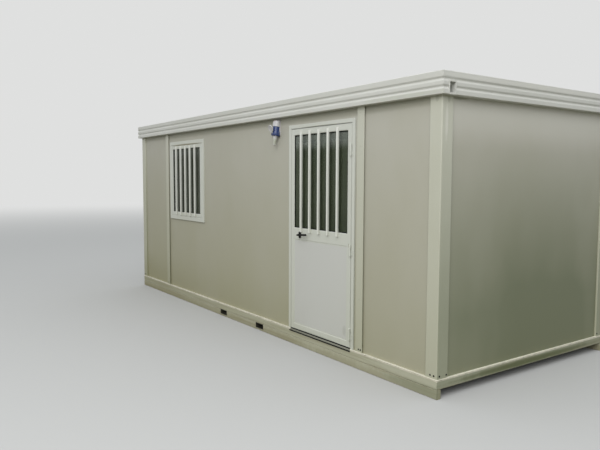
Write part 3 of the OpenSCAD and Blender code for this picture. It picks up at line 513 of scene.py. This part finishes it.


# Marks that the cabin has picked up, and painted shade and highlights, on each finish
marks = {
    "frame_paint": [      # the near post's head, the foot of the door's end, the trail under the drain
        mark(grimeAndShade, 0.32, 50.0, at=(2.950, -1.175, 2.250), size=(0.035, 0.02, 0.045)),
        mark(grimeAndShade, 0.30, 50.0, at=(3.0, -1.105, 2.245), size=(0.02, 0.030, 0.050)),
        mark(mudGreen, 0.88, 9.0, at=(3.0, 0.0, 0.105), size=(0.025, 1.9, 0.045)),
        mark(algaeAndShade, 0.40, 5.0, at=(2.9, -1.18, 0.045), size=(1.0, 0.04, 0.090)),
        mark(washedAndHighlight, 0.45, 24.0, at=(3.0, -1.125, 2.08), size=(0.02, 0.030, 0.26)),
    ],
    "fascia_paint": [     # painted highlight on the top roll and in the drain opening, stained low roll
        mark(washedAndHighlight, 0.40, 4.0, at=(3.048, 0.0, 2.415), size=(0.03, 2.6, 0.035)),
        mark(stained, 0.35, 4.0, at=(2.7, -1.220, 2.293), size=(1.1, 0.03, 0.032)),
        mark(washedAndHighlight, 0.65, 9.0, at=(3.045, -1.121, 2.323), size=(0.060, 0.060, 0.075)),
    ],
    "leaf_paint": [       # scuff beside the lowest hinge
        mark(grimeAndShade, 0.20, 70.0, at=(1.900, -1.171, 0.30), size=(0.050, 0.02, 0.09)),
    ],
    "white_paint": [      # rubbed spot on the door's stile, painted shade under the heads of window and door, damp foot of the leaf
        mark(soilAndShade, 0.50, 90.0, at=(1.96, -1.175, 1.075), size=(0.020, 0.02, 0.035)),
        mark(soilAndShade, 0.85, 28.0, at=(-1.424, -1.174, 2.107), size=(0.95, 0.02, 0.020)),
        mark(grimeAndShade, 0.60, 30.0, at=(1.522, -1.175, 2.149), size=(0.60, 0.02, 0.010)),
        mark(algaeAndShade, 0.30, 30.0, at=(1.52, -1.175, 0.165), size=(0.60, 0.02, 0.022)),
    ],
    "grey_plastic": [     # the inlet's hood, and the sleeve below it
        mark(rosy, 0.75, 8.0, at=(0.803, -1.205, 2.258), size=(0.08, 0.08, 0.034)),
        mark(stained, 0.9, 12.0, at=(0.803, -1.205, 2.035), size=(0.06, 0.06, 0.075)),
    ],
    "wall_paint": [       # painted shade under the fascia, on the front and at the top of the door's end
        mark(grimeAndShade, 0.30, 3.0, at=(0.0, -1.158, 2.240), size=(9.0, 0.02, 0.080)),
        mark(grimeAndShade, 0.5, 30.0, at=(2.983, -1.0, 2.262), size=(0.02, 0.25, 0.020)),
    ],
}


def addMarks(tree, name, colour):
    for spot in marks.get(name, []):
        patch = groupNode(tree, "patch", Centre=spot["at"], Size=spot["size"], Grain=spot["grain"])
        colour = stain(tree, colour, spot["colour"], patch.outputs["Mask"], spot["share"])
    return colour


def paintMaterial(name, look):
    material, tree, shader = newMaterial(name, look["rough"])
    place = placeOf(tree)
    upright = mathNode(tree, "SUBTRACT", 1.0, facing(tree, "Z"))
    doorEnd = facing(tree, "X")
    mottle = groupNode(tree, "mottle", Specks=weather["specks"])
    colour = mixColour(tree, mottle.outputs["Tone"], look["shade"], look["colour"])
    # painted highlight: the bars are made lighter than the rest of the white paint
    if "barHighlight" in look:
        short = fallNode(tree, place["X"], *barPlace["short"])
        ahead = fallNode(tree, place["Y"], *[frontFace - step for step in barPlace["ahead"]])
        colour = stain(tree, colour, look["barHighlight"], short, ahead)
    colour = stain(tree, colour, grimeAndShade, mottle.outputs["Specks"], weather["speckShare"])
    if "film" in look:     # a film low down, and on the end by the door algae with painted shade
        film = groupNode(tree, "film", Start=weather["filmStart"], Full=weather["filmFull"])
        colour = stain(tree, colour, look["film"], film.outputs["Mask"], upright, look["filmShare"])
        endTint = groupNode(tree, "film", Start=weather["filmStart"], Full=weather["endTintFull"])
        shaded = timesNode(tree, endTint.outputs["Mask"], doorEnd)
        colour = stain(tree, colour, algaeAndShade, shaded, look["endTint"])
    if "older" in look:     # age and soil show more towards the far end and towards the ground
        along = slopeNode(tree, place["X"], *weather["along"])
        foot = rangeNode(tree, place["Z"], *weather["foot"])
        down = mathNode(tree, "ADD", foot, slopeNode(tree, place["Z"], *weather["down"]))
        colour = stain(tree, colour, farSoil, along, down, look["older"], upright)
    if "paintedEndLight" in look:     # painted shade that darkens the end by the door towards the rear, and a painted highlight along its top
        colour = stain(tree, colour, deepShade, shaded, slopeNode(tree, place["Y"], *weather["rearward"]))
        colour = stain(tree, colour, washedAndHighlight, doorEnd, rangeNode(tree, place["Z"], *weather["litTop"]))
    dirt = []
    if "streaks" in look:
        streaks = groupNode(tree, "streaks", Top=fasciaBottom, Reach=weather["streakReach"],
                            Cover=weather["streakCover"])
        dirt.append(timesNode(tree, streaks.outputs["Mask"], look["streaks"]))
        colour = mixColour(tree, dirt[-1], colour, grimeAndShade)
    if "splash" in look:
        splash = groupNode(tree, "splash", Reach=look["splashReach"])
        dirt.append(timesNode(tree, splash.outputs["Mask"], timesNode(tree, upright, look["splash"])))
        colour = mixColour(tree, dirt[-1], colour, soilAndShade)
    if "bands" in look:     # level bands of wet soil along the rail and the skid
        drawn = rangeNode(tree, noiseNode(tree, "wetBands"), *weather["bandsDrawn"])
        upTo = [railTop - step for step in weather["bandsBelow"]]
        below = rangeNode(tree, place["Z"], *upTo, look["bands"], 0.0)
        colour = stain(tree, colour, soilAndShade, drawn, below, upright)
    for line in look.get("seams", []):
        seam = groupNode(tree, "seam", Height=line["height"], Half=line["half"])
        colour = stain(tree, colour, line["colour"], seam.outputs["Mask"], line["share"])
    tree.links.new(addMarks(tree, name, colour), shader.inputs["Base Color"])
    if dirt:
        dirty = mathNode(tree, "MAXIMUM", dirt[0], dirt[-1])
        rough = slopeNode(tree, dirty, 0.0, 1.0, look["rough"], weather["dirtRough"])
        tree.links.new(rough, shader.inputs["Roughness"])
    ripple = groupNode(tree, "ripple", Waves=look["waves"])
    addBump(tree, shader, ripple.outputs["Height"], sheetBump)
    return material


metals = {
    "galvanised_steel": {"light": (0.47, 0.49, 0.49), "dark": (0.38, 0.39, 0.39), "rough": 0.45,
                         "metallic": 0.75, "mud": 0.95},
    "threshold_aluminium": {"light": (0.32, 0.32, 0.26), "dark": (0.23, 0.23, 0.18), "rough": 0.50,
                            "metallic": 0.4},
}
metalGrain = {"specks": 0.5, "range": (0.3, 0.7), "smoother": 0.08, "rougher": 0.12, "mudHides": 0.5,
              "strength": 0.15, "distance": 0.001}


def metalMaterial(name, look):
    material, tree, shader = newMaterial(name, look["rough"], look["metallic"])
    mottle = groupNode(tree, "mottle", Specks=metalGrain["specks"])
    colour = mixColour(tree, mottle.outputs["Tone"], look["dark"], look["light"])
    if "mud" in look:     # mud in the fork pockets dulls the metal
        film = groupNode(tree, "film", Start=railTop, Full=skidTop)
        muddy = timesNode(tree, film.outputs["Mask"], look["mud"])
        colour = mixColour(tree, muddy, colour, wetMud)
        shine = rangeNode(tree, muddy, 0.0, metalGrain["mudHides"], look["metallic"], 0.0)
        tree.links.new(shine, shader.inputs["Metallic"])
    tree.links.new(colour, shader.inputs["Base Color"])
    grain = noiseNode(tree, "rolledMetal")
    rough = slopeNode(tree, grain, *metalGrain["range"], look["rough"] - metalGrain["smoother"],
                      look["rough"] + metalGrain["rougher"])
    tree.links.new(rough, shader.inputs["Roughness"])
    addBump(tree, shader, grain, metalGrain)
    return material


plastics = {
    "black_plastic": {"colour": (0.004, 0.004, 0.004), "worn": (0.008, 0.008, 0.007), "rough": 0.55,
                      "gloss": 0.12},
    "grey_plastic": {"colour": (0.55, 0.54, 0.55), "worn": (0.47, 0.46, 0.46), "rough": 0.42, "gloss": 0.5},
    "blue_plastic": {"colour": (0.016, 0.038, 0.150), "worn": (0.024, 0.048, 0.160), "rough": 0.25,
                     "gloss": 0.6},
}
plasticGrain = {"specks": 0.4, "wornRougher": 0.1, "strength": 0.10, "distance": 0.0005}


def plasticMaterial(name, look):
    material, tree, shader = newMaterial(name, look["rough"])
    shader.inputs["Specular IOR Level"].default_value = look["gloss"]
    mottle = groupNode(tree, "mottle", Specks=plasticGrain["specks"])
    toned = mixColour(tree, mottle.outputs["Tone"], look["worn"], look["colour"])
    tree.links.new(addMarks(tree, name, toned), shader.inputs["Base Color"])
    addBump(tree, shader, noiseNode(tree, "mouldedPlastic"), plasticGrain)
    rough = slopeNode(tree, mottle.outputs["Tone"], 0, 1, look["rough"] + plasticGrain["wornRougher"],
                      look["rough"])
    tree.links.new(rough, shader.inputs["Roughness"])
    return material


board = {"dark": (0.23, 0.18, 0.12), "light": (0.36, 0.29, 0.20), "grain": (0.35, 0.65), "rough": 0.6,
         "strength": 0.2, "distance": 0.001}


def boardMaterial():
    material, tree, shader = newMaterial("floor_board", board["rough"])
    grain = noiseNode(tree, "boardGrain")
    colour = mixColour(tree, rangeNode(tree, grain, *board["grain"]), board["dark"], board["light"])
    tree.links.new(colour, shader.inputs["Base Color"])
    addBump(tree, shader, grain, board)
    return material


glass = {
    "rough": 0.02, "through": 0.85, "bend": 1.41, "shine": (0.72, 0.90, 0.55),
    "farClean": (0.070, 0.082, 0.045), "nearClean": (0.150, 0.185, 0.110), "nearer": (-1.2, 1.2),
    "dust": (0.23, 0.26, 0.17), "dustShare": (0.4, 0.75, 0.0, 0.5), "dustRough": (0.45, 0.8, 0.02, 0.16),
    "veil": (0.56, 0.60, 0.56), "veilHeights": (1.91, 2.00), "farVeil": 0.30,
}


def glassMaterial():     # clear in the lower part, with a pale veil towards the top that is painted reflection of the sky, with dust
    material, tree, shader = newMaterial("window_glass", glass["rough"])
    shader.inputs["Transmission Weight"].default_value = glass["through"]
    shader.inputs["IOR"].default_value = glass["bend"]
    shader.inputs["Specular Tint"].default_value = (*glass["shine"], 1)
    dust = noiseNode(tree, "glassDust")
    place = placeOf(tree)
    nearer = rangeNode(tree, place["X"], *glass["nearer"])
    clean = mixColour(tree, nearer, glass["farClean"], glass["nearClean"])
    tint = mixColour(tree, rangeNode(tree, dust, *glass["dustShare"]), clean, glass["dust"])
    veil = timesNode(tree, rangeNode(tree, place["Z"], *glass["veilHeights"]),
                     rangeNode(tree, nearer, 0.0, 1.0, glass["farVeil"], 1.0))
    tree.links.new(mixColour(tree, veil, tint, glass["veil"]), shader.inputs["Base Color"])
    tree.links.new(rangeNode(tree, dust, *glass["dustRough"]), shader.inputs["Roughness"])
    return material


materials = {name: paintMaterial(name, look) for name, look in paints.items()}
materials.update({name: metalMaterial(name, look) for name, look in metals.items()})
materials.update({name: plasticMaterial(name, look) for name, look in plastics.items()})
materials.update({"floor_board": boardMaterial(), "window_glass": glassMaterial()})

for part in frame["record"]["subparts"]:
    node = frame["nodes"][part["node"]]
    node.data.materials.clear()
    node.data.materials.append(materials[part["material_slot"]])

# Detail pieces. Each starts as a primitive at its size and place and is shaped in edit mode.
bpy.context.tool_settings.mesh_select_mode = (False, False, True)      # faces

faceOn = 0.9                        # how squarely a face looks one way when it is picked
sideOn = 0.5                        # a face that looks up or down less than this is a side
sharpAngle = math.radians(40)       # edges sharper than this are rounded
smoothAngle = math.radians(35)      # and those sharper than this stay crisp


def startPiece(addPrimitive, place, scale=(1, 1, 1), **options):
    bpy.ops.object.select_all(action="DESELECT")
    addPrimitive(location=place, **options)
    piece = bpy.context.object
    piece.scale = scale
    bpy.ops.object.transform_apply(location=True, rotation=True, scale=True)
    return piece


def startBox(low, high):
    low, high = Vector(low), Vector(high)
    return startPiece(bpy.ops.mesh.primitive_cube_add, (low + high) / 2, high - low, size=1)


def pickFaces(piece, rule):
    bpy.ops.object.mode_set(mode="EDIT")
    bpy.ops.mesh.select_all(action="DESELECT")
    bpy.ops.object.mode_set(mode="OBJECT")
    for face in piece.data.polygons:
        face.select = rule(face.center, face.normal)
    bpy.ops.object.mode_set(mode="EDIT")


def roundEdges(width, steps=2):
    bpy.ops.mesh.select_mode(type="EDGE")
    bpy.ops.mesh.select_all(action="DESELECT")
    bpy.ops.mesh.edges_select_sharp(sharpness=sharpAngle)
    bpy.ops.mesh.bevel(offset=width, segments=steps, affect="EDGES", clamp_overlap=True)
    bpy.ops.mesh.select_mode(type="FACE")
    bpy.ops.mesh.select_all(action="SELECT")
    bpy.ops.mesh.normals_make_consistent(inside=False)
    bpy.ops.object.mode_set(mode="OBJECT")


def finishPiece(piece, name, body, slot):
    piece.name = name
    bpy.ops.object.select_all(action="DESELECT")
    piece.select_set(True)
    bpy.context.view_layer.objects.active = piece
    bpy.ops.object.transform_apply(location=True, rotation=True, scale=True)
    bpy.ops.object.shade_smooth_by_angle(angle=smoothAngle)
    piece.data.materials.clear()
    piece.data.materials.append(materials[slot])
    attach(piece, body)


def ringPiece(look, along="y"):     # a four-sided frame that is open along one axis
    piece = startBox(look["low"], look["high"])
    pickFaces(piece, lambda centre, normal: abs(getattr(normal, along)) > faceOn)
    bpy.ops.mesh.inset(thickness=look["wide"], depth=0)
    bpy.ops.mesh.bridge_edge_loops()
    roundEdges(look["rounding"])
    return piece


def cutAway(piece, low, high):
    cutter = startBox(low, high)
    change = piece.modifiers.new("cut", "BOOLEAN")
    change.operation = "DIFFERENCE"
    change.object = cutter
    bpy.context.view_layer.objects.active = piece
    bpy.ops.object.modifier_apply(modifier="cut")
    bpy.data.objects.remove(cutter)


# Folded lip on the base rail: the bright line round the foot, open where the threshold is
lipOut = 0.0050
railLip = {
    "low": (-cabinEnd - lipOut, frontFace - lipOut, 0.1480),
    "high": (cabinEnd + lipOut, -frontFace + lipOut, 0.1530),
    "wide": 0.0220, "rounding": 0.0010,
    "gapLow": (1.053, frontFace - 0.05, 0.1), "gapHigh": (1.991, frontFace + 0.05, 0.2),
}
lip = ringPiece(railLip, "z")
cutAway(lip, railLip["gapLow"], railLip["gapHigh"])
finishPiece(lip, "base_rail_lip", "cabin", "frame_paint")

# Gaskets round both panes, pressed into the beads
windowGasket = {"low": (-1.8450, -1.1670, 1.2030), "high": (-1.0030, -1.1610, 2.0560), "wide": 0.009,
                "rounding": 0.0012}
finishPiece(ringPiece(windowGasket), "window_gasket", "cabin", "black_plastic")
doorGasket = {"low": (1.1110, -1.1680, 1.1770), "high": (1.9330, -1.1620, 2.0830), "wide": 0.010,
              "rounding": 0.0012}
finishPiece(ringPiece(doorGasket), "door_gasket", "door", "black_plastic")

# Bead round the door's lower panel
panelBead = {"low": (1.1100, -1.1714, 0.2180), "high": (1.9340, -1.1700, 1.0640), "wide": 0.009,
             "rounding": 0.0012}
finishPiece(ringPiece(panelBead), "door_panel_bead", "door", "white_paint")

# Seal in the rebate, on both jambs and the head: a ring whose foot is cut off at the threshold
rebateSeal = {"low": (1.0550, -1.1650, 0.1200), "high": (1.9890, -1.1580, 2.1470), "wide": 0.0055,
              "rounding": 0.0012, "foot": 0.1535}
seal = ringPiece(rebateSeal)
bpy.ops.object.mode_set(mode="EDIT")
bpy.ops.mesh.select_all(action="SELECT")
bpy.ops.mesh.bisect(plane_co=(0, 0, rebateSeal["foot"]), plane_no=(0, 0, 1), use_fill=True, clear_inner=True)
bpy.ops.object.mode_set(mode="OBJECT")
finishPiece(seal, "door_seal", "cabin", "grey_plastic")

# Rubber blade under the leaf, thinner towards its foot
doorBlade = {"low": (1.0640, -1.1770, 0.1545), "high": (1.9800, -1.1500, 0.1655), "edge": 0.001,
             "taper": 0.45, "middle": 1.522, "rounding": 0.0010}
blade = startBox(doorBlade["low"], doorBlade["high"])
pickFaces(blade, lambda centre, normal: normal.z < -faceOn)
bpy.ops.mesh.inset(thickness=doorBlade["edge"], depth=0)
bpy.ops.transform.resize(value=(1, doorBlade["taper"], 1),
                         center_override=(doorBlade["middle"], *doorBlade["low"][1:]))
roundEdges(doorBlade["rounding"])
finishPiece(blade, "door_blade", "door", "black_plastic")

# Dark strip below the threshold's lip, put there as painted shadow under the lip, with some dirt
lipShadowStrip = {"low": (1.0360, -1.1812, 0.1270), "high": (1.9880, -1.1740, 0.1382), "rounding": 0.0020,
           "steps": 3}
line = startBox(lipShadowStrip["low"], lipShadowStrip["high"])
bpy.ops.object.mode_set(mode="EDIT")
roundEdges(lipShadowStrip["rounding"], lipShadowStrip["steps"])
finishPiece(line, "threshold_shadow_strip", "cabin", "black_plastic")

# Screws: at the feet of strips and posts, along the cover strips, on hinge plates, inlet and roof
towardsEnd = (0, 0, math.radians(90))
towardsRear = (0, 0, math.radians(180))
towardsFarEnd = (0, 0, math.radians(-90))
upwards = (math.radians(-90), 0, 0)
screws = {
    "foot": {"radius": 0.0075, "rise": 0.0040, "sides": 12},
    "strip": {"radius": 0.0050, "rise": 0.0030, "sides": 12},
    "hinge": {"radius": 0.0038, "rise": 0.0016, "sides": 12},
    "inlet": {"radius": 0.0035, "rise": 0.0018, "sides": 12},
    "roof": {"radius": 0.0080, "rise": 0.0050, "sides": 8},
}
headShape = {      # as shares of the radius, and the last three of the rise
    "rim": 0.28, "crown": 0.14, "crownDrop": 0.08, "flat": 0.22, "socketWall": 0.04,
    "washer": 0.5, "dome": 0.6, "socketDeep": 0.4,
}


def screwHead(size):     # a washer with a domed head and a socket, facing -Y from the origin
    radius, rise = size["radius"], size["rise"]
    piece = startPiece(bpy.ops.mesh.primitive_cylinder_add, (0, 0, 0), vertices=size["sides"],
                       radius=radius, depth=rise * headShape["washer"],
                       rotation=(math.radians(90), 0, 0))
    pickFaces(piece, lambda centre, normal: normal.y < -faceOn)
    bpy.ops.mesh.inset(thickness=radius * headShape["rim"], depth=0)
    bpy.ops.mesh.extrude_region_move(TRANSFORM_OT_translate={"value": (0, -rise * headShape["dome"], 0)})
    bpy.ops.mesh.inset(thickness=radius * headShape["crown"], depth=radius * headShape["crownDrop"])
    bpy.ops.mesh.inset(thickness=radius * headShape["flat"], depth=0)
    bpy.ops.mesh.inset(thickness=radius * headShape["socketWall"], depth=-rise * headShape["socketDeep"])
    bpy.ops.object.mode_set(mode="OBJECT")
    return piece


def scatter(master, places, turn):     # copies of one piece, each with its own mesh, as one object
    copies = []
    for place in places:
        copy = master.copy()
        copy.data = master.data.copy()
        copy.location = place
        copy.rotation_euler = turn
        bpy.context.scene.collection.objects.link(copy)
        copies.append(copy)
    bpy.ops.object.select_all(action="DESELECT")
    for copy in copies:
        copy.select_set(True)
    bpy.context.view_layer.objects.active = copies[0]
    bpy.ops.object.join()
    return copies[0]


def scatterScrews(name, body, slot, kind, places, turn=(0, 0, 0)):
    master = screwHead(screws[kind])
    joined = scatter(master, places, turn)
    bpy.data.objects.remove(master)
    finishPiece(joined, name, body, slot)


# In the posts, in the strips' middles, and a second one in the strip beside the door
footScrews = {"height": 0.178, "strips": (-2.041, 2.102), "second": 2.127, "posts": (2.932, 2.968),
              "farPosts": (-2.932, -2.968), "ends": (-1.148, -1.072, 1.072, 1.148)}
frontRow = (*footScrews["strips"], footScrews["second"], *footScrews["posts"], *footScrews["farPosts"])
rearRow = (*footScrews["farPosts"][::-1], *footScrews["strips"], *footScrews["posts"])
feet = [(x, frontFace, footScrews["height"]) for x in frontRow]
endFeet = [(cabinEnd, y, footScrews["height"]) for y in footScrews["ends"]]
farFeet = [(-x, y, z) for x, y, z in endFeet]
rearFeet = [(x, -frontFace, footScrews["height"]) for x in rearRow]
scatterScrews("foot_screws_front", "cabin", "black_plastic", "foot", feet)
scatterScrews("foot_screws_end", "cabin", "black_plastic", "foot", endFeet, towardsEnd)
scatterScrews("foot_screws_far_end", "cabin", "black_plastic", "foot", farFeet, towardsFarEnd)
scatterScrews("foot_screws_rear", "cabin", "black_plastic", "foot", rearFeet, towardsRear)

stripHeights = (0.62, 1.06, 1.50, 1.94, 2.22)
stripScrews = [(x, frontFace, z) for x in footScrews["strips"] for z in stripHeights]
scatterScrews("strip_screws_front", "cabin", "frame_paint", "strip", stripScrews)

# Each hinge has one plate on the frame, below and outwards, and one on the leaf, above and inwards
hinges = {"axis": 1.9855, "middles": (0.284, 1.032, 1.910), "face": -1.1780, "out": 0.0165, "up": 0.025,
          "screws": (-0.014, 0.014)}
framePlates = [(hinges["axis"] + hinges["out"], hinges["face"], z - hinges["up"] + side)
               for z in hinges["middles"] for side in hinges["screws"]]
leafPlates = [(hinges["axis"] - hinges["out"], hinges["face"], z + hinges["up"] + side)
              for z in hinges["middles"] for side in hinges["screws"]]
scatterScrews("hinge_screws_frame", "cabin", "galvanised_steel", "hinge", framePlates)
scatterScrews("hinge_screws_leaf", "door", "galvanised_steel", "hinge", leafPlates)

# Grip ring round the mouth of the inlet's collar, with ribs, leaning out as the collar does
gripRing = {"mouth": (0.803, -1.196, 2.093), "lean": -10, "radius": 0.0445, "tall": 0.040, "up": 0.025,
            "wall": 0.0035, "sides": 24, "rib": 0.0020, "ribEdge": 0.0015, "rounding": 0.0006, "steps": 1}
lean = math.radians(gripRing["lean"])
ringAt = Vector(gripRing["mouth"]) + gripRing["up"] * Vector((0, -math.sin(lean), math.cos(lean)))
grip = startPiece(bpy.ops.mesh.primitive_cylinder_add, ringAt, vertices=gripRing["sides"],
                  radius=gripRing["radius"], depth=gripRing["tall"], rotation=(lean, 0, 0))
pickFaces(grip, lambda centre, normal: abs(normal.z) > faceOn)
bpy.ops.mesh.inset(thickness=gripRing["wall"], depth=0)
bpy.ops.mesh.bridge_edge_loops()
outside = gripRing["radius"] - gripRing["wall"] / 2
facet = 360 / gripRing["sides"]      # degrees


def everyOtherSide(centre, normal):
    onSide = abs(normal.z) < sideOn and (centre - ringAt).length > outside
    return onSide and round(math.degrees(math.atan2(normal.y, normal.x)) / facet - 0.5) % 2 == 0


pickFaces(grip, everyOtherSide)
bpy.ops.mesh.inset(thickness=gripRing["ribEdge"], depth=gripRing["rib"], use_individual=True)
roundEdges(gripRing["rounding"], gripRing["steps"])
finishPiece(grip, "inlet_grip_ring", "cabin", "blue_plastic")
inletScrews = [(0.770, -1.1720, 2.107), (0.836, -1.1720, 2.107)]
scatterScrews("inlet_screws", "cabin", "galvanised_steel", "inlet", inletScrews)

# Screws with washers that hold the roof sheet's ribs to the beams
roof = {"top": 2.371, "ribs": 9, "ribStep": 0.258, "beams": 7, "beamStep": 0.970}
alongRoof = [(beam - roof["beams"] // 2) * roof["beamStep"] for beam in range(roof["beams"])]
acrossRoof = [(rib - roof["ribs"] // 2) * roof["ribStep"] for rib in range(roof["ribs"])]
heads = [(x, y, roof["top"]) for x in alongRoof for y in acrossRoof]
scatterScrews("roof_screws", "cabin", "galvanised_steel", "roof", heads, upwards)

# Trims where the walls meet the floor and the ceiling, inside
skirting = {"low": (-2.943, -1.118, 0.150), "high": (2.943, 1.118, 0.195), "wide": 0.010, "rounding": 0.0020,
            "gapLow": (1.018, -1.2, 0.1), "gapHigh": (2.026, -1.0, 0.3)}
trim = ringPiece(skirting, "z")
cutAway(trim, skirting["gapLow"], skirting["gapHigh"])
finishPiece(trim, "floor_trim", "cabin", "ceiling_paint")
cove = {"low": (-2.943, -1.118, 2.220), "high": (2.943, 1.118, 2.250), "wide": 0.016, "rounding": 0.0060}
finishPiece(ringPiece(cove, "z"), "ceiling_trim", "cabin", "ceiling_paint")
print("stage: detail pieces made")
